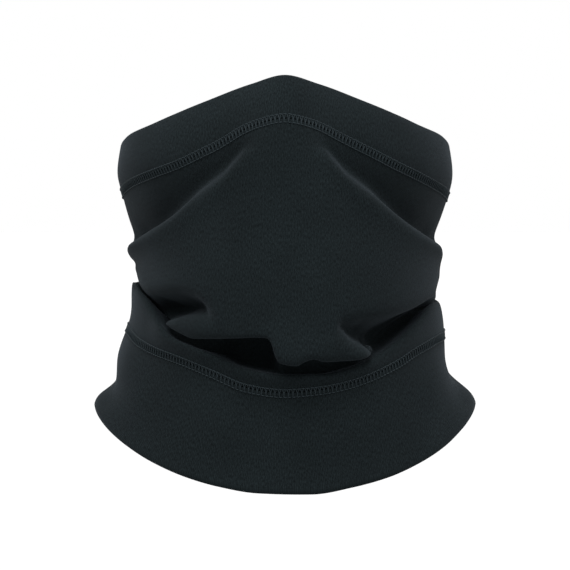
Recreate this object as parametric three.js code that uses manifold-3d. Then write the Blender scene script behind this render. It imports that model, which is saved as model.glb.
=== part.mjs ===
// A neck gaiter of brushed-back jersey, standing as it is worn: over the nose, round the cheeks and nape,
// slouched under the chin and flared over the shoulders. Millimetres, +Z up, the wearer faces -Y, and the
// origin is on the axis of the wearer's neck.
//
// It is three strips of cloth, each wrapped round and closed at the centre back: a doubled band over the
// nose, a single-ply body panel and a doubled band over the shoulders. Flatlock seams join them. A flatlock
// seam has a cover thread laddering over the face, two rows of needle thread on top of it, and a looper
// thread inside. A folded satin label hangs inside the lower seam.
import * as THREE from "three";
import { mergeVertices } from "three/addons/utils/BufferGeometryUtils.js";
import Module from "manifold-3d";

// Cloth.
const PLY = 2; // one layer of brushed jersey
const PLY_GAP = 0.4; // between the two layers of a doubled band
const BUTT_GAP = 0.4; // between two cloth edges that meet in a seam
const DOUBLED = 2 * PLY + PLY_GAP;

// Thread.
const THREAD = 0.7; // width of a lay of thread on the cloth
const THREAD_RISE = 0.5; // its thickness
const LAY_GAP = 0.3; // between a thread and what it lies on
const LOOPER_GAP = 0.5; // between the looper thread, which is slack, and the inside of the cloth
const NEEDLE_SPREAD = 4.6; // between the two needle rows of a flatlock seam

// Satin label.
const LABEL_WIDTH = 30;
const LABEL_DROP = 24;
const LABEL_PLY = 0.5;
const LABEL_LOOP = 0.5; // between the label's two folded layers
const LABEL_CLEARANCE = 0.8;

// The three strips, measured down the centre front of the cloth.
const FACE_BAND = 26;
const BODY_PANEL = 140;
const NECK_BAND = 53;

// Half widths of the worn tube, from the rim down to the shoulders.
const RIM_HALF_WIDTH = 84;
const EAR_HALF_WIDTH = 88;
const CHEEK_HALF_WIDTH = 85;
const JAW_HALF_WIDTH = 82.5;
const NECK_HALF_WIDTH = 85.5;
const ROLL_HALF_WIDTH = 88;
const SHOULDER_HALF_WIDTH = 96;
const HEM_HALF_WIDTH = 103;

// How far it reaches in front of the neck's axis.
const RIM_DEPTH = 97;
const FACE_DEPTH = 102;
const CHEEK_DEPTH = 106;
const CHIN_DEPTH = 111;
const THROAT_DEPTH = 103;
const SHOULDER_DEPTH = 106;
const HEM_DEPTH = 109;

// How far it reaches behind it.
const CROWN_DEPTH = 85;
const NAPE_DEPTH = 89;
const COLLAR_BACK_DEPTH = 86;
const SHOULDER_BACK_DEPTH = 94;
const HEM_BACK_DEPTH = 99;

// How far the nose stands out from the face, at the rim, over its bridge and under its tip.
const RIM_NOSE = 9;
const NOSE_RISE = 12;
const NOSE_FOOT = 7;
const NOSE_WIDTH = 22;

// Heights of the rim, of the two seams and of the hem, at the front, the sides and the back, above the
// origin.
const RIM = { front: 152, side: 114, back: 111 };
const UPPER_SEAM = { front: 128, side: 89, back: 86 };
const LOWER_SEAM = { front: -10, side: 16, back: 18 };
const HEM = { front: -62.5, side: -24.5, back: -30 };

// How a line curves over the front: 1 falls straight from the middle to the sides, 2 is an ellipse.
const NOSE_PEAK = 1.35;
const JAW_PEAK = 1.6;
const COLLAR_PEAK = 1.7;

// Steps round the wearer, alike for cloth and thread, and closer together over the nose than at the nape.
const STEPS_ROUND = 64;
const CLOSER_AT_NOSE = 0.35;

// The level lines of the worn cloth, from the rim to the hem: how far down the cloth each lies, its
// heights, and its plan. CHEEK, JAW and CHIN are shares of the way down the body panel; ROLL and SHOULDER
// are shares of the way down the neck band.
const CHEEK = 0.2;
const JAW = 0.5;
const CHIN = 0.85;
const ROLL = 0.3;
const SHOULDER = 0.65;
const mix = (a, b, t) => a + (b - a) * t;
const between = (high, low, t) => ({
  front: mix(high.front, low.front, t),
  side: mix(high.side, low.side, t),
  back: mix(high.back, low.back, t),
});
const upperSeamAt = FACE_BAND;
const lowerSeamAt = FACE_BAND + BODY_PANEL;
const hemAt = lowerSeamAt + NECK_BAND;
const onFaceBand = (t) => ({ at: FACE_BAND * t, ...between(RIM, UPPER_SEAM, t) });
const onPanel = (t) => ({ at: mix(upperSeamAt, lowerSeamAt, t), ...between(UPPER_SEAM, LOWER_SEAM, t) });
const onNeckBand = (t) => ({ at: mix(lowerSeamAt, hemAt, t), ...between(LOWER_SEAM, HEM, t) });
const plan = (halfWidth, frontDepth, backDepth, nose, peak) => ({
  halfWidth, frontDepth, backDepth, nose, peak,
});
const LEVELS = [
  { ...onFaceBand(0), ...plan(RIM_HALF_WIDTH, RIM_DEPTH, CROWN_DEPTH, RIM_NOSE, NOSE_PEAK) },
  { ...onFaceBand(0.5), ...plan(EAR_HALF_WIDTH, FACE_DEPTH, NAPE_DEPTH, NOSE_RISE, NOSE_PEAK) },
  { ...onPanel(0), ...plan(EAR_HALF_WIDTH, FACE_DEPTH, NAPE_DEPTH, NOSE_RISE, NOSE_PEAK) },
  { ...onPanel(CHEEK), ...plan(CHEEK_HALF_WIDTH, CHEEK_DEPTH, NAPE_DEPTH, NOSE_FOOT, NOSE_PEAK) },
  { ...onPanel(JAW), ...plan(JAW_HALF_WIDTH, CHIN_DEPTH, COLLAR_BACK_DEPTH, 0, JAW_PEAK) },
  { ...onPanel(CHIN), ...plan(JAW_HALF_WIDTH, CHIN_DEPTH, COLLAR_BACK_DEPTH, 0, COLLAR_PEAK) },
  { ...onPanel(1), ...plan(NECK_HALF_WIDTH, THROAT_DEPTH, COLLAR_BACK_DEPTH, 0, COLLAR_PEAK) },
  { ...onNeckBand(ROLL), ...plan(ROLL_HALF_WIDTH, THROAT_DEPTH, NAPE_DEPTH, 0, COLLAR_PEAK) },
  {
    ...onNeckBand(SHOULDER),
    ...plan(SHOULDER_HALF_WIDTH, SHOULDER_DEPTH, SHOULDER_BACK_DEPTH, 0, COLLAR_PEAK),
  },
  { ...onNeckBand(1), ...plan(HEM_HALF_WIDTH, HEM_DEPTH, HEM_BACK_DEPTH, 0, COLLAR_PEAK) },
];
const KEYS = ["front", "side", "back", "halfWidth", "frontDepth", "backDepth", "nose", "peak"];
const levels = new THREE.CubicInterpolant(
  LEVELS.map((one) => one.at),
  LEVELS.flatMap((one) => KEYS.map((key) => one[key])),
  KEYS.length,
);
const levelAt = (at) => {
  const values = levels.evaluate(THREE.MathUtils.clamp(at, 0, hemAt));
  return Object.fromEntries(KEYS.map((key, i) => [key, values[i]]));
};

// The face of the cloth. turn: the angle round the neck, 0 at the centre front and positive towards +X.
function faceOfCloth(turn, at) {
  const { front, side, back, halfWidth, frontDepth, backDepth, nose, peak } = levelAt(at);
  const across = Math.sin(turn);
  const ahead = Math.cos(turn);
  const x = halfWidth * across;
  if (ahead < 0) {
    return new THREE.Vector3(x, -backDepth * ahead, mix(side, back, ahead * ahead));
  }
  const rise = Math.pow(Math.max(1 - Math.pow(Math.abs(across), peak), 0), 1 / peak);
  const bridge = nose * Math.exp(-((x / NOSE_WIDTH) ** 2));
  return new THREE.Vector3(x, -frontDepth * ahead - bridge, mix(side, front, rise));
}

// The point that lies the given distance outside the face of the cloth.
const SLIGHT_TURN = 0.02;
const SLIGHT_LENGTH = 1;
function offCloth(turn, at, outside) {
  const round = faceOfCloth(turn + SLIGHT_TURN, at).sub(faceOfCloth(turn - SLIGHT_TURN, at));
  const down = faceOfCloth(turn, Math.min(at + SLIGHT_LENGTH, hemAt));
  down.sub(faceOfCloth(turn, Math.max(at - SLIGHT_LENGTH, 0)));
  return faceOfCloth(turn, at).addScaledVector(down.cross(round).normalize(), outside);
}

// A solid wound round the wearer: a closed outline of (outside, at) points, carried round the cloth. swing
// moves every other step of it up and down the cloth, as a zigzag thread goes.
function woundSolid(outline, swing = 0) {
  const closed = [...outline, outline[0]].map(([outside, at]) => new THREE.Vector2(outside, at));
  const geometry = new THREE.LatheGeometry(closed, STEPS_ROUND);
  const { position } = geometry.attributes;
  for (let i = 0; i <= STEPS_ROUND; i++) {
    const step = i % STEPS_ROUND;
    const even = (2 * Math.PI * step) / STEPS_ROUND;
    const turn = Math.PI + even + CLOSER_AT_NOSE * Math.sin(even);
    const shift = step % 2 ? swing : -swing;
    closed.forEach((corner, j) => {
      const { x, y, z } = offCloth(turn, corner.y + shift, corner.x);
      position.setXYZ(i * closed.length + j, x, y, z);
    });
  }
  return geometry;
}

// A thread laid up and down the cloth at the centre back, so far to one side of the middle. A zigzag thread
// swings to both sides of its line and ends on it.
const BACK_STEP = 6;
function backThread(from, to, lowest, aside, swing = 0) {
  const rows = 2 * Math.round((to - from) / BACK_STEP / 2);
  const geometry = new THREE.BoxGeometry(THREAD, to - from, THREAD_RISE, 1, rows, 1);
  const { position } = geometry.attributes;
  for (let i = 0; i < position.count; i++) {
    const share = 0.5 - position.getY(i) / (to - from);
    const row = Math.round(share * rows);
    const atAnEnd = row === 0 || row === rows;
    const swung = row % 2 ? swing : -swing;
    const at = mix(from, to, share);
    const along = position.getX(i) + aside + (atAnEnd ? 0 : swung);
    const turn = Math.PI + along / levelAt(at).halfWidth;
    const { x, y, z } = offCloth(turn, at, lowest + THREAD_RISE / 2 + position.getZ(i));
    position.setXYZ(i, x, y, z);
  }
  return geometry;
}

// The cut where a strip's two ends meet, down the centre back.
const wasm = await Module();
wasm.setup();
function asSolid(geometry) {
  const bare = geometry.clone().deleteAttribute("normal").deleteAttribute("uv");
  const merged = mergeVertices(bare, 1e-3);
  const mesh = new wasm.Mesh({
    numProp: 3,
    vertProperties: merged.attributes.position.array,
    triVerts: new Uint32Array(merged.index.array),
  });
  return new wasm.Manifold(mesh);
}
function openAtBack(geometry) {
  const reach = 2 * (HEM_BACK_DEPTH + RIM.front);
  const slot = new THREE.BoxGeometry(BUTT_GAP, HEM_BACK_DEPTH, reach).translate(0, HEM_BACK_DEPTH, 0);
  const mesh = asSolid(geometry).subtract(asSolid(slot)).getMesh();
  const cut = new THREE.BufferGeometry();
  cut.setAttribute("position", new THREE.BufferAttribute(mesh.vertProperties, 3));
  cut.setIndex(new THREE.BufferAttribute(mesh.triVerts, 1));
  cut.computeVertexNormals();
  return cut;
}

// Outlines of the cloth strips.
const evenly = (from, to, count) => Array.from({ length: count }, (_, i) => mix(from, to, i / (count - 1)));
const BAND_ROWS = 7;
const PANEL_ROWS = 12;
const SEAM_ROWS = 3; // under a seam's thread
const FOLD_ROUND = 0.6; // how far in from its fold a band reaches full thickness, in plies
const seamReach = NEEDLE_SPREAD / 2 + THREAD; // how far a seam's thread lies on the cloth beside it

// A doubled band: folded at its open edge, its two cut edges at the seam.
function bandOutline(fold, seam) {
  const inward = Math.sign(seam - fold);
  const beside = seam - inward * seamReach;
  const underThread = evenly(beside, seam, SEAM_ROWS).slice(1);
  const outer = [...evenly(fold + inward * FOLD_ROUND * PLY, beside, BAND_ROWS), ...underThread];
  const inner = [...evenly(fold + inward * PLY, beside, BAND_ROWS), ...underThread];
  const face = outer.map((at) => [0, at]);
  const lining = outer.map((at) => [-DOUBLED, at]);
  const faceBack = inner.map((at) => [-PLY, at]);
  const liningBack = inner.map((at) => [-PLY - PLY_GAP, at]);
  const outline = [
    ...face.reverse(), [-DOUBLED / 2, fold], ...lining, ...liningBack.reverse(), ...faceBack,
  ];
  return inward > 0 ? outline : outline.reverse();
}
function panelOutline(top, bottom) {
  const upper = evenly(top, top + seamReach, SEAM_ROWS).slice(0, -1);
  const lower = evenly(bottom - seamReach, bottom, SEAM_ROWS).slice(1);
  const rows = [...upper, ...evenly(top + seamReach, bottom - seamReach, PANEL_ROWS), ...lower];
  return [...rows.map((at) => [0, at]).reverse(), ...rows.map((at) => [-PLY, at])];
}

// Outline of a thread that lies from the given height off the cloth.
function threadOutline(lowest, at) {
  return [[lowest, at + THREAD / 2], [lowest + THREAD_RISE, at], [lowest, at - THREAD / 2]];
}

const coverLow = LAY_GAP;
const needleLow = coverLow + THREAD_RISE + LAY_GAP;
const looperLow = -DOUBLED - LOOPER_GAP - THREAD_RISE;
const panelLooperLow = -PLY - LOOPER_GAP - THREAD_RISE;
const zigzag = NEEDLE_SPREAD / 2;

// Materials.
const material = (color, roughness) => new THREE.MeshStandardMaterial({ color, roughness, metalness: 0 });
const jersey = material(0x1b2024, 0.95);
const panelJersey = material(0x181c20, 0.95);
const sewingThread = material(0x23282c, 0.75);
const satin = material(0xd8d8d4, 0.45);

const gaiter = new THREE.Group();
function add(name, geometry, look) {
  const mesh = new THREE.Mesh(geometry, look);
  mesh.name = name;
  gaiter.add(mesh);
  return mesh;
}

// The three strips of cloth.
add("face_band", openAtBack(woundSolid(bandOutline(0, upperSeamAt - BUTT_GAP / 2))), jersey);
const panel = panelOutline(upperSeamAt + BUTT_GAP / 2, lowerSeamAt - BUTT_GAP / 2);
add("body_panel", openAtBack(woundSolid(panel)), panelJersey);
add("neck_band", openAtBack(woundSolid(bandOutline(hemAt, lowerSeamAt + BUTT_GAP / 2))), jersey);

// The two flatlock seams round the tube.
for (const [seam, at] of [["upper_seam", upperSeamAt], ["lower_seam", lowerSeamAt]]) {
  const row = (lowest, where, swing) => woundSolid(threadOutline(lowest, where), swing);
  add(`${seam}_cover_thread`, row(coverLow, at, zigzag), sewingThread);
  add(`${seam}_needle_thread_1`, row(needleLow, at - zigzag), sewingThread);
  add(`${seam}_needle_thread_2`, row(needleLow, at + zigzag), sewingThread);
  add(`${seam}_looper_thread`, row(looperLow, at, zigzag), sewingThread);
}

// The flatlock seam down the centre back of the panel, between the two seams round the tube.
const seamRoom = zigzag + THREAD + LAY_GAP;
const backFrom = upperSeamAt + seamRoom;
const backTo = lowerSeamAt - seamRoom;
add("back_seam_cover_thread", backThread(backFrom, backTo, coverLow, 0, zigzag), sewingThread);
add("back_seam_needle_thread_1", backThread(backFrom, backTo, needleLow, -zigzag), sewingThread);
add("back_seam_needle_thread_2", backThread(backFrom, backTo, needleLow, zigzag), sewingThread);
add("back_seam_looper_thread", backThread(backFrom, backTo, panelLooperLow, 0, zigzag), sewingThread);

// The zigzag that closes each band's two ends, from its fold to the seam.
const faceBandRun = [LAY_GAP + PLY, upperSeamAt - seamRoom];
const neckBandRun = [lowerSeamAt + seamRoom, hemAt - LAY_GAP - PLY];
add("face_band_closing_thread", backThread(...faceBandRun, coverLow, 0, zigzag), sewingThread);
add("neck_band_closing_thread", backThread(...neckBandRun, coverLow, 0, zigzag), sewingThread);

// The label: a loop of satin folded at its foot, its two cut ends at the lower seam, against the lining.
const LABEL_STEPS = 6;
function foldedLabel() {
  const near = -DOUBLED - LABEL_CLEARANCE;
  const far = near - 2 * LABEL_PLY - LABEL_LOOP;
  const top = lowerSeamAt + seamRoom;
  const foot = top + LABEL_DROP;
  const outline = [
    [near, top], [near, foot], [far, foot], [far, top], [far + LABEL_PLY, top],
    [far + LABEL_PLY, foot - LABEL_PLY], [near - LABEL_PLY, foot - LABEL_PLY], [near - LABEL_PLY, top],
  ];
  const loop = new THREE.Shape(outline.map(([outside, at]) => new THREE.Vector2(outside, at)));
  const settings = { depth: LABEL_WIDTH, steps: LABEL_STEPS, bevelEnabled: false };
  const geometry = new THREE.ExtrudeGeometry(loop, settings);
  const { position } = geometry.attributes;
  for (let i = 0; i < position.count; i++) {
    const at = position.getY(i);
    const turn = Math.PI + (position.getZ(i) - LABEL_WIDTH / 2) / levelAt(at).halfWidth;
    const { x, y, z } = offCloth(turn, at, position.getX(i));
    position.setXYZ(i, x, y, z);
  }
  return geometry;
}
add("care_label", foldedLabel(), satin);

export default gaiter;
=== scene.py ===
import bpy
import math
from functools import partial
import numpy as np
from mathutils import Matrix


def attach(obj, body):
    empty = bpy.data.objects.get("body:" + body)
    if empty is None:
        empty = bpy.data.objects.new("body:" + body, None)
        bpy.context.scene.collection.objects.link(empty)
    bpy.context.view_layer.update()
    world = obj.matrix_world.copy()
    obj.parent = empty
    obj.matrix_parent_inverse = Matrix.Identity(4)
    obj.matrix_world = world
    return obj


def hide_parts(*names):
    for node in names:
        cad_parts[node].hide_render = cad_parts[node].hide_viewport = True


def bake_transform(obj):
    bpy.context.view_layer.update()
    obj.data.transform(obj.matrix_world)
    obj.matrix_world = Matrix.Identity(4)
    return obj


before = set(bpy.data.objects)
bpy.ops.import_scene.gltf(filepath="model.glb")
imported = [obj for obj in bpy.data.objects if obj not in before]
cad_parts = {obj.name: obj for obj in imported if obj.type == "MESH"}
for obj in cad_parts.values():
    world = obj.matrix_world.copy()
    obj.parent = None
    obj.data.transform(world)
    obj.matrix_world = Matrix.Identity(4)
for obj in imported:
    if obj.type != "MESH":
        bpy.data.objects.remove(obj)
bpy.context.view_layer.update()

# ---------------------------------------------------------------------------------------------------------
# The drape: how the one tube of cloth hangs on a wearer. It sits over the nose, is drawn back along each
# cheek, slouches under the chin in a pouch that hangs over a collar of cloth, and flares over the shoulders.
# Every strip of cloth and every thread below lies on this one surface.
# ---------------------------------------------------------------------------------------------------------

MM = 0.001


def through(points, at):
    """Smooth curve through given (x, value) points: a cubic between each two, level at both ends and at
    each high or low point, so that it never overshoots."""
    x, value = np.array(points, float).T
    step = np.diff(x)
    slope = np.diff(value) / step
    lean = np.zeros_like(x)
    inner = slope[:-1] * slope[1:] > 0
    before, after = slope[:-1][inner], slope[1:][inner]
    near, far = (2 * step[1:] + step[:-1])[inner], (step[1:] + 2 * step[:-1])[inner]
    lean[1:-1][inner] = (near + far) / (near / before + far / after)
    i = np.clip(np.searchsorted(x, at) - 1, 0, len(x) - 2)
    t = (at - x[i]) / step[i]
    rise = value[i] * (2 * t**3 - 3 * t**2 + 1) + value[i + 1] * (3 * t**2 - 2 * t**3)
    return rise + step[i] * (lean[i] * (t**3 - 2 * t**2 + t) + lean[i + 1] * (t**3 - t**2))


# One entry for each level line of the worn cloth, from the rim over the nose down to the hem, in
# millimetres. heights: (turn, z), where turn is the angle round the neck in degrees, 0 at the centre front
# and positive to the wearer's left. plan: half width, reach in front of the neck, reach behind it, and how
# far the nose stands out. out: (turn, distance) that the cloth lies outside that plan.
LINES = {
    "rim": dict(
        heights=[(-180, 111), (-130, 111), (-95, 114), (-81, 117.5), (-70, 121.5), (-56, 126), (-45, 131),
                 (-29, 138.5), (-12, 147), (0, 151.5), (12, 147), (29, 138.5), (45, 131), (56, 126),
                 (70, 121.5), (81, 117.5), (95, 114), (130, 111), (180, 111)],
        plan=(84, 93, 84, 9),
        out=[(-180, 0), (-110, 1), (-80, 4), (-60, 3), (-40, 0), (40, 0), (60, 2), (80, 4), (110, 1),
             (180, 0)]),
    "band_high": dict(
        heights=[(-180, 104), (-95, 108), (-70, 116), (-45, 125), (-29, 131), (-12, 141), (0, 145),
                 (12, 141), (29, 131), (45, 125), (70, 116), (95, 108), (180, 104)],
        plan=(89, 98, 89, 11),
        out=[(-180, 0), (180, 0)]),
    "band_low": dict(
        heights=[(-180, 94), (-95, 98), (-70, 105), (-45, 112), (-29, 120), (-12, 131), (0, 136),
                 (12, 131), (29, 120), (45, 112), (70, 104), (95, 97), (180, 94)],
        plan=(90.5, 102, 91, 12),
        out=[(-180, 0), (180, 0)]),
    "upper_seam": dict(
        heights=[(-180, 86), (-130, 86), (-95, 90), (-69, 97), (-47, 103), (-38, 106), (-30, 110.5),
                 (-22, 115.5), (-16, 120.5), (-9, 125.5), (0, 128.5), (9, 125.5), (16, 120.5), (22, 117),
                 (30, 112), (38, 107), (47, 102.5), (69, 94), (95, 88), (130, 86), (180, 86)],
        plan=(88, 103, 90, 13),
        out=[(-180, 0), (180, 0)]),
    "recess": dict(
        heights=[(-180, 76), (-130, 74), (-90, 73), (-75, 76), (-64, 80), (-58, 83), (-50, 88), (-42, 93),
                 (-35, 98), (-28, 103), (-22, 108), (-18, 112.5), (-14, 117), (0, 121), (14, 117),
                 (18, 112.5), (22, 108), (28, 103), (35, 98), (42, 92.5), (50, 87), (58, 82), (64, 79),
                 (75, 75), (90, 72), (130, 74), (180, 76)],
        plan=(84, 104, 88, 13),
        out=[(-180, 0), (-120, -1), (-95, 0), (-82, -4), (-70, -6), (-50, -6), (-28, -3), (-17, -2),
             (-9, 0), (9, 0), (17, -2), (28, -3), (50, -6), (70, -6), (82, -4), (95, -1), (120, -1),
             (180, 0)]),
    "under_recess": dict(
        heights=[(-180, 69), (-130, 66), (-90, 65), (-75, 67.5), (-64, 71.5), (-58, 74.5), (-50, 79),
                 (-42, 84.5), (-35, 91), (-28, 97), (-22, 103), (-18, 109), (-14, 113), (0, 115),
                 (14, 113), (18, 109), (22, 103), (28, 97), (35, 91), (42, 84.5), (50, 78.5), (58, 74),
                 (64, 71), (75, 67), (90, 64), (130, 66), (180, 69)],
        plan=(82, 105, 87, 12),
        out=[(-180, -3), (-120, -3), (-98, -1), (-88, -7), (-78, -14), (-60, -16), (-40, -11), (-28, -7),
             (-17, -4), (-9, 0), (9, 0), (17, -4), (28, -7), (40, -11), (60, -16), (78, -14), (88, -7),
             (98, -2), (120, -3), (180, -3)]),
    "cheek_ridge": dict(
        heights=[(-180, 60), (-130, 57), (-90, 60), (-75, 63), (-64, 67), (-58, 70), (-50, 74),
                 (-42, 79.5), (-35, 86.5), (-28, 92.5), (-22, 98), (-18, 104), (-14, 110), (0, 109),
                 (14, 110), (18, 104), (22, 98), (28, 92.5), (35, 86.5), (42, 80), (50, 74), (58, 69.5),
                 (64, 66.5), (75, 62.5), (90, 59), (130, 57), (180, 60)],
        plan=(83.5, 107, 90, 10),
        out=[(-180, 3), (-120, 3), (-92, 1), (-80, 4), (-72, 6), (-25, 6), (-15, 3), (-8, 0), (8, 0),
             (15, 3), (25, 6), (72, 6), (80, 4), (92, 2), (120, 3), (180, 3)]),
    "cheek": dict(
        heights=[(-180, 55), (-130, 54), (-90, 55), (-72, 59), (-54, 64), (-30, 79), (-14, 95), (0, 97),
                 (14, 96), (30, 79), (54, 63), (72, 57), (90, 52), (130, 54), (180, 55)],
        plan=(83.5, 109, 89, 6),
        out=[(-180, 0), (-90, 0), (-45, 2), (-20, 0), (20, 0), (45, 2), (90, 0), (180, 0)]),
    "mouth": dict(
        heights=[(-180, 50), (-130, 51), (-90, 53), (-72, 55), (-54, 56), (-30, 61), (0, 72), (30, 61),
                 (54, 52), (72, 50), (90, 47), (130, 51), (180, 50)],
        plan=(83, 113, 85, 1),
        out=[(-180, -3), (-100, -2), (-80, -2), (-40, 0), (180, 0)]),
    "chin": dict(
        heights=[(-180, 46), (-130, 48), (-90, 51), (-72, 51), (-60, 47), (-45, 48), (-30, 44), (0, 42),
                 (30, 37), (54, 39), (72, 42), (90, 44), (130, 48), (180, 46)],
        plan=(83, 118, 85, 0),
        out=[(-180, -2), (-100, -3), (-80, -3), (-50, -2), (-30, 0), (180, 0)]),
    "brow": dict(
        heights=[(-180, 45), (-130, 47), (-90, 49.5), (-80, 48), (-72, 43), (-62, 39), (-57, 37.5),
                 (-50, 38.5), (-43, 39.5), (-36, 39), (-31, 37), (-20, 34), (0, 33), (15, 29), (21, 27),
                 (27, 26.5), (35, 27), (45, 28), (56, 30), (72, 35), (90, 40), (130, 47), (180, 45)],
        plan=(83, 118, 86, 0),
        out=[(-180, 0), (-100, -3), (-80, -2), (-60, 0), (70, 0), (85, -2), (180, 0)]),
    "dent": dict(
        heights=[(-180, 44), (-130, 46), (-90, 49), (-80, 45), (-72, 38), (-62, 34.5), (-57, 34),
                 (-50, 34.5), (-43, 35), (-36, 34.5), (-31, 32.5), (-26, 30.5), (-20, 28), (-6, 28),
                 (-2, 25), (5, 23), (15, 24), (21, 24), (27, 23), (35, 23), (45, 24), (56, 27), (72, 33),
                 (90, 36), (130, 46), (180, 44)],
        plan=(83, 118, 86, 0),
        out=[(-180, 1), (-100, -4), (-80, -4), (-68, -5), (-62, -8), (-57, -16), (-50, -18), (-43, -17),
             (-36, -12), (-31, -5), (-27, -1), (-24, 0), (18, 0), (22, -5), (27, -10), (32, -13),
             (45, -13), (56, -12), (68, -7), (80, -2), (100, -2), (180, 1)]),
    "dent_floor": dict(
        heights=[(-180, 43), (-130, 45), (-90, 48.5), (-80, 43), (-72, 36), (-62, 30), (-57, 29),
                 (-50, 28), (-43, 29.5), (-36, 30), (-31, 28.5), (-26, 26), (-20, 24), (-6, 24), (-2, 20),
                 (5, 18), (15, 18), (21, 22), (25, 19), (30, 16.5), (35, 15), (40, 17), (45, 19),
                 (56, 23.5), (72, 32), (90, 34), (130, 45), (180, 43)],
        plan=(83, 118, 86, 0),
        out=[(-180, 1), (-100, -4), (-75, -6), (-64, -13), (-57, -24), (-50, -27), (-43, -24), (-36, -17),
             (-31, -7), (-27, -1), (-24, 0), (18, 0), (22, -8), (27, -16), (32, -20), (38, -23),
             (45, -23), (56, -19), (68, -10), (80, -2), (100, -2), (180, 1)]),
    "roll": dict(
        heights=[(-180, 42), (-130, 44), (-90, 48), (-80, 41), (-72, 34), (-62, 27), (-55, 24.5),
                 (-50, 24), (-46, 25.5), (-43, 26.5), (-36, 27), (-31, 25.5), (-26, 22.5), (-14, 20),
                 (-6, 20), (-2, 13), (5, 11), (15, 12), (21, 18), (25, 15), (30, 11.5), (35, 9.5),
                 (40, 13), (45, 15.5), (56, 21.5), (72, 31), (90, 33), (130, 44), (180, 42)],
        plan=(83, 118, 87, 0),
        out=[(-180, 2), (-100, -4), (-75, -8), (-64, -13), (-57, -12), (-52, -5), (-48, 0), (-43, 1.5),
             (-36, 1.5), (-26, 0), (20, 1), (29, 1), (33, -2), (38, -16), (45, -24), (56, -20), (68, -11),
             (80, -3), (100, -2), (180, 2)]),
    "lip": dict(
        heights=[(-180, 39.5), (-130, 41.5), (-90, 47), (-80, 39), (-72, 32), (-62, 25), (-55, 23),
                 (-50, 22), (-46, 18.5), (-42, 16), (-35, 13), (-26, 13.5), (-18, 14.5), (-11, 15.5),
                 (-7, 15.2), (-5, 12), (-3.4, 4), (-1.6, 0.8), (4, -0.5), (7, 2.5), (10, 4.3), (14, 2),
                 (21, 1), (27, 2), (31, 4), (34.5, 7), (38, 10), (45, 14), (56, 20.5), (72, 30), (90, 32),
                 (130, 41.5), (180, 39.5)],
        plan=(83, 117, 88, 0),
        out=[(-180, 2), (-100, -5), (-75, -8), (-64, -13), (-57, -12), (-52, -5), (-48, -1), (-42, -1),
             (-30, 0), (28, 1), (33, -2), (38, -15), (45, -23), (56, -20), (68, -11), (80, -3), (100, -2),
             (180, 2)]),
    "tuck": dict(
        heights=[(-180, 36), (-130, 38), (-90, 46), (-80, 38), (-72, 31), (-62, 24), (-55, 21), (-46, 22),
                 (-42, 20), (-35, 18), (-26, 20), (-18, 21), (-6, 21), (-2, 9), (5, 8), (14, 9), (27, 10),
                 (31, 11), (34.5, 12), (38, 11), (45, 12), (56, 18), (72, 29), (90, 31), (130, 38),
                 (180, 36)],
        plan=(79, 105, 85, 0),
        out=[(-180, -2), (-100, -3), (-90, -3), (-80, -1), (-72, -3.5), (-57, -12), (-50, -4), (-43, -2),
             (-30, -5), (-22, -16), (-6, -20), (-2, -4), (20, -5), (34, -6), (40, -14), (48, -18),
             (60, -14), (72, -6), (84, 0), (100, 0), (180, -2)]),
    "collar_inside": dict(
        heights=[(-180, 33.5), (-130, 35.5), (-90, 42), (-80, 39), (-72, 33), (-62, 27), (-55, 20),
                 (-50, 17), (-43, 12), (-35, 9), (-26, 5), (-16, -1), (0, -4), (12, -4), (23, -1),
                 (35, 5), (44, 8), (56, 15), (72, 26), (90, 29), (130, 35.5), (180, 33.5)],
        plan=(79, 102, 85, 0),
        out=[(-180, -2), (-100, -3), (-90, -3), (-80, 1), (-72, -1), (-57, -6), (-50, 0), (-35, 0),
             (-22, -12), (-6, -12), (0, -5), (34, -5), (48, -8), (60, -6), (72, -3), (84, 0), (100, 0),
             (180, -2)]),
    "collar_edge": dict(
        heights=[(-180, 31), (-130, 34), (-90, 41), (-76, 46), (-68, 42), (-62, 38), (-55, 30), (-50, 25),
                 (-43, 18), (-35, 14), (-26, 9), (-16, 3), (0, -0.5), (12, -0.5), (23, 2), (35, 7.5),
                 (45, 16), (57, 26.5), (66, 33), (73, 35), (90, 33.5), (130, 34), (180, 31)],
        plan=(83, 107, 89, 0),
        out=[(-180, 2), (-100, 0), (-60, 0), (-46, 4), (-32, 4), (-22, 0), (100, 0), (180, 2)]),
    "collar": dict(
        heights=[(-180, 24), (-130, 26), (-90, 29), (-76, 30), (-62, 22), (-55, 17), (-43, 11.5),
                 (-35, 8.5), (-26, 4), (-16, -2.5), (0, -6), (12, -6), (23, -3.5), (35, 1.5), (45, 7.5),
                 (57, 15.5), (73, 22), (90, 22), (130, 25), (180, 24)],
        plan=(84.5, 106, 89, 0),
        out=[(-180, 1), (-100, -2), (-85, -2.5), (-60, 0), (-46, 3), (-32, 3), (-22, 0), (180, 1)]),
    "lower_seam": dict(
        heights=[(-180, 18), (-130, 18), (-90, 19), (-75, 16.5), (-64, 12), (-53, 9), (-43, 6.5),
                 (-33, 3), (-26, -0.5), (-20, -4), (-14, -7.5), (0, -10), (8, -9), (18, -7), (24, -5),
                 (31, -2), (38, 1.5), (44, 4.5), (52, 9), (70, 13), (90, 15), (130, 16), (180, 18)],
        plan=(85.5, 103, 87, 0),
        out=[(-180, 0), (-100, -1.5), (-85, -2), (-60, 0), (180, 0)]),
    "neck_roll": dict(
        heights=[(-180, 7), (-130, 5), (-90, 1), (-70, 0), (-45, -4), (-26, -14), (0, -23), (26, -17),
                 (45, -8), (70, 2), (90, 3), (130, 5), (180, 7)],
        plan=(87, 102, 89, 0),
        out=[(-180, 1), (-110, 2), (-90, 5), (-72, 4), (-50, 0), (60, 0), (90, -1), (110, 0), (180, 1)]),
    "neck_hollow": dict(
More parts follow.
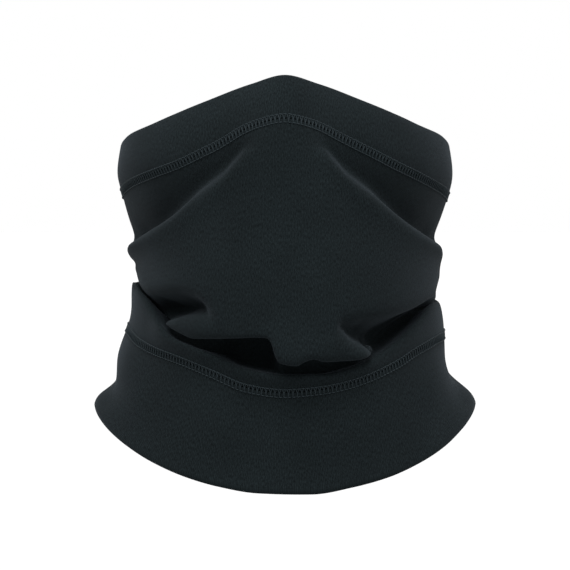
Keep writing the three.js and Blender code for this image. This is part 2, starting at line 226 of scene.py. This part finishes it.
        heights=[(-180, -4), (-130, -6), (-90, -12), (-70, -14), (-45, -22), (0, -37), (45, -22),
                 (70, -11), (90, -7), (130, -6), (180, -4)],
        plan=(91, 104, 91, 0),
        out=[(-180, -2), (-110, -2), (-90, -3), (-74, 1), (-60, 2), (-45, 0), (45, 0), (60, 2), (74, 0),
             (90, -6), (110, -2), (180, -2)]),
    "flare": dict(
        heights=[(-180, -17), (-130, -18), (-90, -18), (-70, -23), (-45, -35), (0, -51), (45, -35),
                 (70, -22), (90, -17), (130, -18), (180, -17)],
        plan=(96, 106, 95, 0),
        out=[(-180, 0), (-110, 2), (-90, 5), (-74, 0), (-60, -1), (60, -1), (74, 0), (90, 5), (110, 2),
             (180, 0)]),
    "hem": dict(
        heights=[(-180, -30), (-130, -27), (-90, -25), (-78, -28), (-66, -34), (-55, -40.5), (-43, -48),
                 (-30, -55), (-20, -59), (-8, -62), (8, -62.6), (20, -59.5), (32, -55), (43, -49),
                 (55, -41.5), (66, -34), (78, -27.5), (90, -24.5), (130, -27), (180, -30)],
        plan=(103, 109, 99, 0),
        out=[(-180, 0), (180, 0)]),
}
LINE_NAMES = list(LINES)
RIM, HEM = 0, len(LINES) - 1
UPPER_SEAM, LOWER_SEAM = LINE_NAMES.index("upper_seam"), LINE_NAMES.index("lower_seam")
NOSE_WIDTH = 21


def level_line(name, turn):
    """The points of one level line at these turns, in radians: an ellipse in plan, deeper in front than
    behind, with a bell-shaped bulge at the nose, moved out along its own radius."""
    line = LINES[name]
    half, front, behind, nose = line["plan"]
    degrees = np.degrees(turn)
    out = through(line["out"], degrees)
    across, ahead = np.sin(turn), np.cos(turn)
    x = (half + out) * across
    depth = np.where(ahead > 0, front, behind) + out
    y = -depth * ahead - nose * np.exp(-((x / NOSE_WIDTH) ** 2)) * (ahead > 0)
    return np.stack([x, y, through(line["heights"], degrees)], -1)


def drape(turn, down):
    """The face of the cloth, in metres. turn: radians round the neck. down: how far down the cloth, counted
    in level lines. Down each column the cloth is a uniform cubic B-spline led by the level lines, which
    rounds each fold as cloth does; the first and last line are met by mirroring their neighbours."""
    turn, down = np.broadcast_arrays(np.asarray(turn, float), np.asarray(down, float))
    wrapped = (turn + math.pi) % (2 * math.pi) - math.pi
    net = np.stack([level_line(name, wrapped) for name in LINE_NAMES])
    net = np.concatenate([2 * net[:1] - net[1:2], net, 2 * net[-1:] - net[-2:-1]])
    first = np.clip(np.floor(down).astype(int), 0, HEM - 1)
    t = down - first
    shares = ((1 - t) ** 3, 3 * t**3 - 6 * t**2 + 4, -3 * t**3 + 3 * t**2 + 3 * t + 1, t**3)
    place = sum(
        (share / 6)[..., None] * np.take_along_axis(net, (first + k)[None, ..., None], 0)[0]
        for k, share in enumerate(shares)
    )
    return place * MM


NUDGE = 1e-3


def unit(vectors):
    """Each vector over its own length."""
    return vectors / np.linalg.norm(vectors, axis=-1, keepdims=True)


def lean_of(turn, down):
    """Unit steps on the drape, down it and straight out of it, and the metres in one step of down."""
    beside = drape(turn + NUDGE, down) - drape(turn - NUDGE, down)
    falling = (drape(turn, down + NUDGE) - drape(turn, down - NUDGE)) / (2 * NUDGE)
    return unit(falling), unit(np.cross(falling, beside)), np.linalg.norm(falling, axis=-1)


# ---------------------------------------------------------------------------------------------------------
# The body panel: one layer of brushed-back jersey, smooth knit face out and fleece in, cut as a rectangle
# and closed at the centre back. It hangs from the upper seam to the lower one.
# ---------------------------------------------------------------------------------------------------------

# Columns of cloth round the wearer, closer together over the face than at the nape, and the girth of the
# uncut tube.
COLUMNS = 420
CROWDING = 0.35
GIRTH = 0.56
even = 2 * math.pi * np.arange(COLUMNS) / COLUMNS
turns = math.pi + even + CROWDING * np.sin(even)

# Its colour, its columns of stitches and its nap are the bands' too.
PANEL_ROWS = 108
PLY = 0.0019
EDGE_STEPS = 5
CHARCOAL = (0.0049, 0.0071, 0.0079)
PALE_BLUE = (0.7, 0.84, 1, 1)
WALE = 0.0012
WALE_DEPTH = 0.00005
NAP_DEPTH = 0.0002


def metres_along(points):
    """Metres from the first row of points to each, along a path or down each column of a surface."""
    steps = np.linalg.norm(np.diff(points, axis=0), axis=-1)
    return np.concatenate([np.zeros_like(steps[:1]), np.cumsum(steps, 0)])


def strip(start, end, start_room, rows):
    """A strip of cloth between two level lines, start_room short of the first and half a ply short of the
    second. Gives the points of its face, the ways on along it and out of it, and the metres to each row."""
    onward = 1 if end > start else -1
    begin = start + onward * start_room / lean_of(turns, start)[2]
    finish = end - onward * (PLY / 2) / lean_of(turns, end)[2]
    share = np.linspace(0, 1, rows)[:, None]
    down = begin * (1 - share) + finish * share
    face = drape(turns, down)
    falling, out, _ = lean_of(turns[None], down)
    return face, falling * onward, out, metres_along(face)


def half_turn(face, out, onward, depth, radius, steps=EDGE_STEPS):
    """A half turn at an end of a strip, from its outer side to its inner one, about a centre this deep under
    its face. The first and last points are left to the layers that it joins."""
    bend = np.linspace(0, math.pi, steps)[1:-1, None, None]
    return face - out * depth + radius * (out * np.cos(bend) + onward * np.sin(bend))


def add_piece(name, mesh):
    """Smooth-shaded object for a mesh."""
    mesh.polygons.foreach_set("use_smooth", [True] * len(mesh.polygons))
    piece = bpy.data.objects.new(name, mesh)
    bpy.context.scene.collection.objects.link(piece)
    return piece


def ring_piece(name, loops, runs):
    """Closed skin from loops[i, j], a closed outline i carried round columns j: each four neighbours make
    one face, and both ways round it closes on itself. Its map is the cloth's own, in metres: round the uncut
    tube, and runs[i, j] down it."""
    rows, columns = runs.shape
    i, j = np.meshgrid(np.arange(rows), np.arange(columns), indexing="ij")
    below, beside = (i + 1) % rows, (j + 1) % columns
    corner_rows = np.stack([i, below, below, i], -1)
    faces = corner_rows * columns + np.stack([j, j, beside, beside], -1)
    mesh = bpy.data.meshes.new(name)
    mesh.from_pydata(loops.reshape(-1, 3), [], faces.reshape(-1, 4).tolist())
    spread = np.stack([np.broadcast_to(even / (2 * math.pi) * GIRTH, runs.shape), runs], -1)
    spread = np.concatenate([spread, spread[:, :1] + [GIRTH, 0]], 1)
    corners = spread[corner_rows, np.stack([j, j, j + 1, j + 1], -1)]
    mesh.uv_layers.new(name="cloth").data.foreach_set("uv", corners.astype(np.float32).ravel())
    return add_piece(name, mesh)


def single(start, end, rows):
    """Outline of one layer of cloth between two level lines: down its face, round its cut edge, up its back
    and round its other edge. Gives its points and the metres down the cloth at each."""
    face, onward, out, run = strip(start, end, PLY / 2, rows)
    foot = half_turn(face[-1], out[-1], onward[-1], PLY / 2, PLY / 2)
    head = half_turn(face[0], out[0], -onward[0], PLY / 2, PLY / 2)
    at_foot = np.repeat(run[-1:], len(foot), 0)
    loops = np.concatenate([face, foot, (face - out * PLY)[::-1], head[::-1]])
    return loops, np.concatenate([run, at_foot, run[::-1], np.zeros_like(at_foot)])


def jersey(name):
    """Brushed jersey: fine columns of stitches that run down the cloth, with painted shade in the grooves
    between them, a heather of lighter fibres, a soft nap, and the pale bloom that brushed knit shows where
    it turns away."""
    material = bpy.data.materials.new(name)
    material.use_nodes = True
    nodes, links = material.node_tree.nodes, material.node_tree.links
    shader = nodes["Principled BSDF"]
    shader.inputs["Roughness"].default_value = 0.92
    shader.inputs["Specular IOR Level"].default_value = 0.03
    shader.inputs["Sheen Weight"].default_value = 0.028
    shader.inputs["Sheen Roughness"].default_value = 0.42
    shader.inputs["Sheen Tint"].default_value = PALE_BLUE
    cloth_map = nodes.new("ShaderNodeUVMap")
    cloth_map.uv_map = "cloth"
    place = nodes.new("ShaderNodeTexCoord")

    heather = nodes.new("ShaderNodeTexNoise")
    heather.inputs["Scale"].default_value = 1300
    heather.inputs["Detail"].default_value = 3
    stretch = nodes.new("ShaderNodeMapping")
    stretch.inputs["Scale"].default_value = (1, 0.45, 1)
    links.new(cloth_map.outputs["UV"], stretch.inputs["Vector"])
    links.new(stretch.outputs["Vector"], heather.inputs["Vector"])
    tone = nodes.new("ShaderNodeValToRGB")
    dark_end, light_end = tone.color_ramp.elements
    dark_end.position, light_end.position = 0.3, 0.72
    dark_end.color = (*(0.55 * c for c in CHARCOAL), 1)
    light_end.color = (*(1.75 * c for c in CHARCOAL), 1)
    links.new(heather.outputs["Fac"], tone.inputs["Fac"])
    wear = nodes.new("ShaderNodeTexNoise")
    wear.inputs["Scale"].default_value = 28
    wear.inputs["Detail"].default_value = 4
    links.new(place.outputs["Object"], wear.inputs["Vector"])
    patchy = nodes.new("ShaderNodeMix")
    patchy.data_type, patchy.blend_type = "RGBA", "MULTIPLY"
    patchy.inputs[0].default_value = 0.5
    links.new(tone.outputs["Color"], patchy.inputs[6])
    links.new(wear.outputs["Fac"], patchy.inputs[7])

    wales = nodes.new("ShaderNodeTexWave")
    wales.wave_type, wales.bands_direction, wales.wave_profile = "BANDS", "X", "SIN"
    wales.inputs["Scale"].default_value = 2 * math.pi / (20 * WALE)
    wales.inputs["Distortion"].default_value = 0.6
    wales.inputs["Detail"].default_value = 1
    links.new(cloth_map.outputs["UV"], wales.inputs["Vector"])
    # Painted shade: the colour is darkened down the grooves between the columns of stitches and lightened on
    # their crests, by the same waves that raise the bump.
    wale_groove_shade = nodes.new("ShaderNodeMapRange")
    wale_groove_shade.inputs["To Min"].default_value = 0.8
    wale_groove_shade.inputs["To Max"].default_value = 1.15
    links.new(wales.outputs["Fac"], wale_groove_shade.inputs["Value"])
    columns = nodes.new("ShaderNodeMix")
    columns.data_type, columns.blend_type = "RGBA", "MULTIPLY"
    columns.inputs[0].default_value = 1
    links.new(patchy.outputs[2], columns.inputs[6])
    links.new(wale_groove_shade.outputs["Result"], columns.inputs[7])
    links.new(columns.outputs[2], shader.inputs["Base Color"])

    nap = nodes.new("ShaderNodeTexNoise")
    nap.inputs["Scale"].default_value = 1600
    nap.inputs["Detail"].default_value = 2
    links.new(cloth_map.outputs["UV"], nap.inputs["Vector"])
    ribbed = nodes.new("ShaderNodeBump")
    ribbed.inputs["Strength"].default_value = 0.5
    ribbed.inputs["Distance"].default_value = WALE_DEPTH
    links.new(wales.outputs["Fac"], ribbed.inputs["Height"])
    fuzzy = nodes.new("ShaderNodeBump")
    fuzzy.inputs["Strength"].default_value = 0.6
    fuzzy.inputs["Distance"].default_value = NAP_DEPTH
    links.new(nap.outputs["Fac"], fuzzy.inputs["Height"])
    links.new(ribbed.outputs["Normal"], fuzzy.inputs["Normal"])
    links.new(fuzzy.outputs["Normal"], shader.inputs["Normal"])
    return material


body_cloth = ring_piece("body_cloth", *single(UPPER_SEAM, LOWER_SEAM, PANEL_ROWS))
body_cloth.data.materials.append(jersey("panel jersey"))
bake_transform(body_cloth)
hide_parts("body_panel")

# ---------------------------------------------------------------------------------------------------------
# The face band and the neck band: strips of the same jersey, each folded in half along its open edge so
# that the fold is the rim or the hem, with both cut edges in the seam.
# ---------------------------------------------------------------------------------------------------------

FACE_BAND_ROWS = 22
NECK_BAND_ROWS = 34
PLY_GAP = 0.0004
DOUBLED = 2 * PLY + PLY_GAP
FOLD_STEPS = 9


def doubled(fold, seam, rows):
    """Outline of a folded strip: down its face from the fold to the seam, back up between the plies, round
    the fold again and down the lining. The fold is a half round of the doubled cloth's whole thickness."""
    face, onward, out, run = strip(fold, seam, DOUBLED / 2, rows)
    seam_out = half_turn(face[-1], out[-1], onward[-1], PLY / 2, PLY / 2)
    seam_in = half_turn(face[-1], out[-1], onward[-1], DOUBLED - PLY / 2, PLY / 2)
    fold_in = half_turn(face[0], out[0], -onward[0], DOUBLED / 2, PLY_GAP / 2)
    fold_out = half_turn(face[0], out[0], -onward[0], DOUBLED / 2, DOUBLED / 2, FOLD_STEPS)
    outer_layer = [face, seam_out, (face - out * PLY)[::-1], fold_in]
    lining = [face - out * (PLY + PLY_GAP), seam_in, (face - out * DOUBLED)[::-1], fold_out[::-1]]
    at_seam = np.repeat(run[-1:], len(seam_out), 0)
    at_fold, round_fold = np.zeros((len(fold_in), COLUMNS)), np.zeros((len(fold_out), COLUMNS))
    loops = np.concatenate(outer_layer + lining)
    runs = np.concatenate([run, at_seam, run[::-1], at_fold, -run, -at_seam, -run[::-1], round_fold])
    return (loops, runs) if seam > fold else (loops[::-1], runs[::-1])


band_jersey = jersey("band jersey")
face_cloth = ring_piece("face_cloth", *doubled(RIM, UPPER_SEAM, FACE_BAND_ROWS))
face_cloth.data.materials.append(band_jersey)
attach(face_cloth, "face")
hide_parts("face_band")

neck_cloth = ring_piece("neck_cloth", *doubled(HEM, LOWER_SEAM, NECK_BAND_ROWS))
neck_cloth.data.materials.append(band_jersey)
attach(neck_cloth, "neck")
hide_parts("neck_band")

# ---------------------------------------------------------------------------------------------------------
# The two flatlock seams round the tube. In each, a cover thread ladders over the meeting edges, two rows of
# needle thread are stitched down on top of it, and a looper thread joins their loops inside.
# ---------------------------------------------------------------------------------------------------------

STITCH = 0.0023
NEEDLE_SPREAD = 0.0042
NEEDLE_THREAD = 0.00034
COVER_THREAD = 0.00026
COVER_LIFT = 0.7 * COVER_THREAD
NEEDLE_CREST = 1.6 * COVER_THREAD - 0.1 * NEEDLE_THREAD
NEEDLE_DIP = 1.5 * NEEDLE_THREAD
THREAD_SIDES = 6
around = np.linspace(-math.pi, math.pi, 2401)


def lifted(turn, down, lift):
    """Points this far out of the drape, and the ways out of it there."""
    _, out, _ = lean_of(turn, down)
    return drape(turn, down) + out * np.asarray(lift)[..., None], out


def along_seam(line, share, aside, lift):
    """Points on the drape, and the ways out of it, this share of the way round a level line, so far below it
    and so far out. Shares are by length, so stitches are all as long."""
    run = metres_along(drape(around, line))
    turn = np.interp(share % 1 * run[-1], run, around)
    return lifted(turn, line + aside / lean_of(turn, line)[2], lift)


def thread_piece(name, centres, out, radius, closed=False):
    """Threads as round sections carried along paths: centres[n, i] is point i of thread n. Each section is a
    circle across the path; an open thread's ends are capped."""
    count, rings = centres.shape[:2]
    if closed:
        along = unit(np.roll(centres, -1, 1) - np.roll(centres, 1, 1))
    else:
        along = unit(np.gradient(centres, axis=1))
    side = unit(np.cross(along, out))
    rise = np.cross(side, along)
    angle = 2 * math.pi * np.arange(THREAD_SIDES)[:, None] / THREAD_SIDES
    section = np.cos(angle) * rise[:, :, None] + np.sin(angle) * side[:, :, None]
    skin = centres[:, :, None] + np.asarray(radius)[..., None, None] * section
    spans = rings if closed else rings - 1
    n, i, k = np.meshgrid(np.arange(count), np.arange(spans), np.arange(THREAD_SIDES), indexing="ij")
    corner_rings = n[..., None] * rings + np.stack([i, i, i + 1, i + 1], -1) % rings
    corner_sides = np.stack([k, k + 1, k + 1, k], -1) % THREAD_SIDES
    faces = (corner_rings * THREAD_SIDES + corner_sides).reshape(-1, 4).tolist()
    if not closed:
        first = np.arange(count)[:, None] * rings * THREAD_SIDES + np.arange(THREAD_SIDES)
        faces += first[:, ::-1].tolist() + (first + (rings - 1) * THREAD_SIDES).tolist()
    mesh = bpy.data.meshes.new(name)
    mesh.from_pydata(skin.reshape(-1, 3), [], faces)
    return add_piece(name, mesh)


def sewing_thread():
    """Spun polyester: a shade lighter than the cloth, a little glossier, with a fine twist along it."""
    material = bpy.data.materials.new("sewing thread")
    material.use_nodes = True
    nodes, links = material.node_tree.nodes, material.node_tree.links
    shader = nodes["Principled BSDF"]
    shader.inputs["Roughness"].default_value = 0.6
    shader.inputs["Specular IOR Level"].default_value = 0.06
    shader.inputs["Sheen Weight"].default_value = 0.02
    shader.inputs["Sheen Tint"].default_value = PALE_BLUE
    place = nodes.new("ShaderNodeTexCoord")
    fibre = nodes.new("ShaderNodeTexNoise")
    fibre.inputs["Scale"].default_value = 2600
    links.new(place.outputs["Object"], fibre.inputs["Vector"])
    tone = nodes.new("ShaderNodeValToRGB")
    tone.color_ramp.elements[0].color = (0.0045, 0.007, 0.008, 1)
    tone.color_ramp.elements[1].color = (0.011, 0.016, 0.0185, 1)
    links.new(fibre.outputs["Fac"], tone.inputs["Fac"])
    links.new(tone.outputs["Color"], shader.inputs["Base Color"])
    twist = nodes.new("ShaderNodeBump")
    twist.inputs["Strength"].default_value = 0.5
    twist.inputs["Distance"].default_value = 0.0001
    links.new(fibre.outputs["Fac"], twist.inputs["Height"])
    links.new(twist.outputs["Normal"], shader.inputs["Normal"])
    return material


thread_finish = sewing_thread()
NEEDLE_HOLE = 0.04
THREAD_END = 0.45
sweep = np.linspace(0, 1, 7)
stitch_rise = np.sin(math.pi * sweep) ** 0.7


def needle_row(path, count, aside):
    """A row of running stitches: each rises from its needle hole, lies along the cloth and dips at the next.
    path gives points and outward ways for shares of the row."""
    share = (np.arange(count)[:, None] + NEEDLE_HOLE + (1 - 2 * NEEDLE_HOLE) * sweep) / count
    lift = np.broadcast_to(NEEDLE_CREST - NEEDLE_DIP * (1 - stitch_rise), share.shape)
    radius = np.broadcast_to(NEEDLE_THREAD * (THREAD_END + (1 - THREAD_END) * stitch_rise), share.shape)
    return *path(share, aside, lift), radius


LADDER_STEPS = 8
LADDER_FLAT = 1.25
LADDER_SLANT = 0.16


def ladder(path, count, spread, lift):
    """A thread that crosses from one needle row to the other and back at each stitch, in soft bends."""
    share = np.arange(count * LADDER_STEPS) / (count * LADDER_STEPS)
    phase = 2 * math.pi * share * count
    aside = spread / 2 * np.clip(LADDER_FLAT * np.sin(phase), -1, 1)
    slant = LADDER_SLANT / count * np.cos(phase)
    centres, out = path(share + slant, aside, np.full(share.shape, lift))
    return centres[None], out[None], COVER_THREAD


def finish_thread(piece, node, body):
    """The thread's finish, and what carries it: a body, or none, when it stays in place on the body panel.
    """
    piece.data.materials.append(thread_finish)
    if body is None:
        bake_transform(piece)
    else:
        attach(piece, body)
    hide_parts(node)


def flatlock(name, seam, body, path, length, depth, closed):
    """The four threads of a flatlock seam along a path of this length, through cloth of this depth."""
    count = round(length / STITCH)
    for number, aside in ((1, -NEEDLE_SPREAD / 2), (2, NEEDLE_SPREAD / 2)):
        row = thread_piece(f"{name}_needle_row_{number}", *needle_row(path, count, aside))
        finish_thread(row, f"{seam}_needle_thread_{number}", body)
    over = ladder(path, count, 0.92 * NEEDLE_SPREAD, COVER_LIFT)
    finish_thread(thread_piece(f"{name}_cover_ladder", *over, closed), f"{seam}_cover_thread", body)
    under = ladder(path, count, 1.1 * NEEDLE_SPREAD, -depth - COVER_LIFT)
    finish_thread(thread_piece(f"{name}_looper_loops", *under, closed), f"{seam}_looper_thread", body)


for seam, line, body in (("upper_seam", UPPER_SEAM, "face"), ("lower_seam", LOWER_SEAM, "neck")):
    length = metres_along(drape(around, line))[-1]
    flatlock(seam, seam, body, partial(along_seam, line), length, DOUBLED, True)

# ---------------------------------------------------------------------------------------------------------
# The centre-back seams: a flatlock seam down the body panel, and a zigzag that closes each doubled band.
# ---------------------------------------------------------------------------------------------------------

SEAM_ROOM = 0.0034
EDGE_ROOM = 0.0025
NAPE_REACH = 0.086


def back_run(start, end):
    """Places down the centre back, and the metres of cloth to each."""
    down = np.linspace(start, end, 801)
    return down, metres_along(drape(math.pi, down))


def along_back(start, end, share, aside, lift):
    """As along_seam, but down the centre back between two places on the drape."""
    down, run = back_run(start, end)
    at = np.interp(np.clip(share, 0, 1) * run[-1], run, down)
    return lifted(math.pi + np.asarray(aside) / NAPE_REACH, at, lift)


def steps_of(metres, line):
    """A length of cloth at the centre back, in steps of down."""
    return metres / float(lean_of(math.pi, line)[2])


def close_band(name, node, body, start, end):
    """The zigzag that closes a band, down the centre back between two places on the drape."""
    count = round(back_run(start, end)[1][-1] / STITCH)
    zigzag = ladder(partial(along_back, start, end), count, 0.8 * NEEDLE_SPREAD, COVER_LIFT)
    finish_thread(thread_piece(name, *zigzag), node, body)


over_upper = UPPER_SEAM - steps_of(SEAM_ROOM, UPPER_SEAM)
under_upper = UPPER_SEAM + steps_of(SEAM_ROOM, UPPER_SEAM)
over_lower = LOWER_SEAM - steps_of(SEAM_ROOM, LOWER_SEAM)
under_lower = LOWER_SEAM + steps_of(SEAM_ROOM, LOWER_SEAM)
under_rim = RIM + steps_of(EDGE_ROOM, RIM)
over_hem = HEM - steps_of(EDGE_ROOM, HEM)
down_panel = partial(along_back, under_upper, over_lower)
flatlock("back", "back_seam", None, down_panel, back_run(under_upper, over_lower)[1][-1], PLY, False)
close_band("face_closing_zigzag", "face_band_closing_thread", "face", under_rim, over_upper)
close_band("neck_closing_zigzag", "neck_band_closing_thread", "neck", under_lower, over_hem)

# ---------------------------------------------------------------------------------------------------------
# The care label: a blank loop of white satin ribbon, folded at its foot, its cut ends sewn in under the
# lower seam at the centre back, hanging against the lining.
# ---------------------------------------------------------------------------------------------------------

LABEL_WIDTH = 0.030
LABEL_DROP = 0.024
LABEL_PLY = 0.0003
LABEL_REST = 0.0006
LABEL_SPRING = 0.0007
LABEL_PINCH = 0.25
across = np.linspace(-LABEL_WIDTH / 2, LABEL_WIDTH / 2, 25)
drop = np.linspace(0, 1, 17)
foot = np.linspace(0, math.pi, 7)[1:-1]
swell = LABEL_SPRING * (LABEL_PINCH + (1 - LABEL_PINCH) * drop**1.5)


def label_outline(thickness):
    """Round one skin of the loop, down its front layer, round the fold and up its back layer: the depth of
    each point inside the lining, and its distance down."""
    near, far = LABEL_REST - thickness, LABEL_REST + 2 * swell + thickness
    middle, half = (near + far[-1]) / 2, (far[-1] - near) / 2
    depth = np.concatenate([np.full(len(drop), near), middle - half * np.cos(foot), far[::-1]])
    fallen = np.concatenate([drop * LABEL_DROP, LABEL_DROP + half * np.sin(foot), drop[::-1] * LABEL_DROP])
    return np.stack([depth, fallen])


skins = (label_outline(LABEL_PLY / 2), label_outline(-LABEL_PLY / 2)[:, ::-1])
label_depth, label_fall = np.concatenate(skins, 1)
label_turns, label_downs = np.meshgrid(
    math.pi + across / NAPE_REACH, under_lower + steps_of(1, under_lower) * label_fall
)
label_points, _ = lifted(label_turns, label_downs, -(DOUBLED + label_depth)[:, None])
rows, columns = label_turns.shape
i, j = np.meshgrid(np.arange(rows), np.arange(columns - 1), indexing="ij")
below = (i + 1) % rows
label_faces = np.stack([i, i, below, below], -1) * columns + np.stack([j, j + 1, j + 1, j], -1)
rung = np.arange(rows // 2 - 1)
mirror = rows - 1 - rung
edge = np.stack([rung, mirror, mirror - 1, rung + 1], -1) * columns
far_edge = edge[:, ::-1] + columns - 1
label_mesh = bpy.data.meshes.new("care_label_ribbon")
label_mesh.from_pydata(
    label_points.reshape(-1, 3), [], label_faces.reshape(-1, 4).tolist() + edge.tolist() + far_edge.tolist()
)
ribbon_map = np.stack(np.broadcast_arrays(across[None], label_fall[:, None]), -1).reshape(-1, 2)
corner = np.zeros(len(label_mesh.loops), int)
label_mesh.loops.foreach_get("vertex_index", corner)
label_mesh.uv_layers.new(name="cloth").data.foreach_set("uv", ribbon_map[corner].astype(np.float32).ravel())
care_label = add_piece("care_label_ribbon", label_mesh)

satin = bpy.data.materials.new("label satin")
satin.use_nodes = True
nodes, links = satin.node_tree.nodes, satin.node_tree.links
shader = nodes["Principled BSDF"]
shader.inputs["Roughness"].default_value = 0.38
shader.inputs["Anisotropic"].default_value = 0.4
ribbon = nodes.new("ShaderNodeUVMap")
ribbon.uv_map = "cloth"
warp = nodes.new("ShaderNodeTexWave")
warp.wave_type, warp.bands_direction = "BANDS", "X"
warp.inputs["Scale"].default_value = 120
warp.inputs["Distortion"].default_value = 1.5
links.new(ribbon.outputs["UV"], warp.inputs["Vector"])
tone = nodes.new("ShaderNodeValToRGB")
tone.color_ramp.elements[0].color = (0.62, 0.62, 0.59, 1)
tone.color_ramp.elements[1].color = (0.74, 0.74, 0.71, 1)
links.new(warp.outputs["Fac"], tone.inputs["Fac"])
links.new(tone.outputs["Color"], shader.inputs["Base Color"])
threads = nodes.new("ShaderNodeBump")
threads.inputs["Strength"].default_value = 0.3
threads.inputs["Distance"].default_value = 0.00005
links.new(warp.outputs["Fac"], threads.inputs["Height"])
links.new(threads.outputs["Normal"], shader.inputs["Normal"])
care_label.data.materials.append(satin)
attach(care_label, "neck")
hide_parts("care_label")

# ---------------------------------------------------------------------------------------------------------
# The floor, the lights and the camera. They aren't part of the object.
# ---------------------------------------------------------------------------------------------------------

bpy.ops.mesh.primitive_plane_add(size=40, location=(0, 0, -0.35))
floor = bpy.context.object
floor.name = "floor"
pale = bpy.data.materials.new("pale floor")
pale.use_nodes = True
paint = pale.node_tree.nodes["Principled BSDF"]
paint.inputs["Base Color"].default_value = (0.25, 0.25, 0.25, 1)
paint.inputs["Emission Color"].default_value = (1, 1, 1, 1)
paint.inputs["Emission Strength"].default_value = 0.75
paint.inputs["Roughness"].default_value = 0.9
floor.data.materials.append(pale)

scene = bpy.context.scene
scene.view_settings.view_transform = "Standard"
world = bpy.data.worlds.new("studio")
world.use_nodes = True
world.node_tree.nodes["Background"].inputs["Color"].default_value = (1, 1, 1, 1)
world.node_tree.nodes["Background"].inputs["Strength"].default_value = 1.0
scene.world = world


def softbox(name, place, size, power):
    """A square area light that faces the object."""
    data = bpy.data.lights.new(name, "AREA")
    data.size, data.energy = size, power
    light = bpy.data.objects.new(name, data)
    light.location = place
    x, y, z = -np.array(place) / np.linalg.norm(place)
    light.rotation_euler = (math.pi / 2 + math.atan2(z, math.hypot(x, y)), 0, math.atan2(y, x) - math.pi / 2)
    scene.collection.objects.link(light)


softbox("key", (-0.05, -0.66, 0.74), 0.6, 17)
softbox("fill", (1.5, -1.4, 0.7), 1.4, 3)
softbox("rim light", (0.1, 0.8, 0.9), 0.9, 4)
softbox("left edge light", (-0.36, 0.02, 0.2), 0.2, 0.45)
softbox("right edge light", (0.36, 0.02, 0.2), 0.2, 0.45)

CAMERA_DISTANCE = 2.0
CAMERA_RISE = math.radians(2)
SEEN_WIDTH = 0.3064
AIM_HEIGHT = 0.04
camera_data = bpy.data.cameras.new("camera")
camera_data.lens = camera_data.sensor_width * CAMERA_DISTANCE / SEEN_WIDTH
camera = bpy.data.objects.new("camera", camera_data)
camera.location = (
    0,
    -CAMERA_DISTANCE * math.cos(CAMERA_RISE),
    AIM_HEIGHT + CAMERA_DISTANCE * math.sin(CAMERA_RISE),
)
camera.rotation_euler = (math.pi / 2 - CAMERA_RISE, 0, 0)
scene.collection.objects.link(camera)
scene.camera = camera
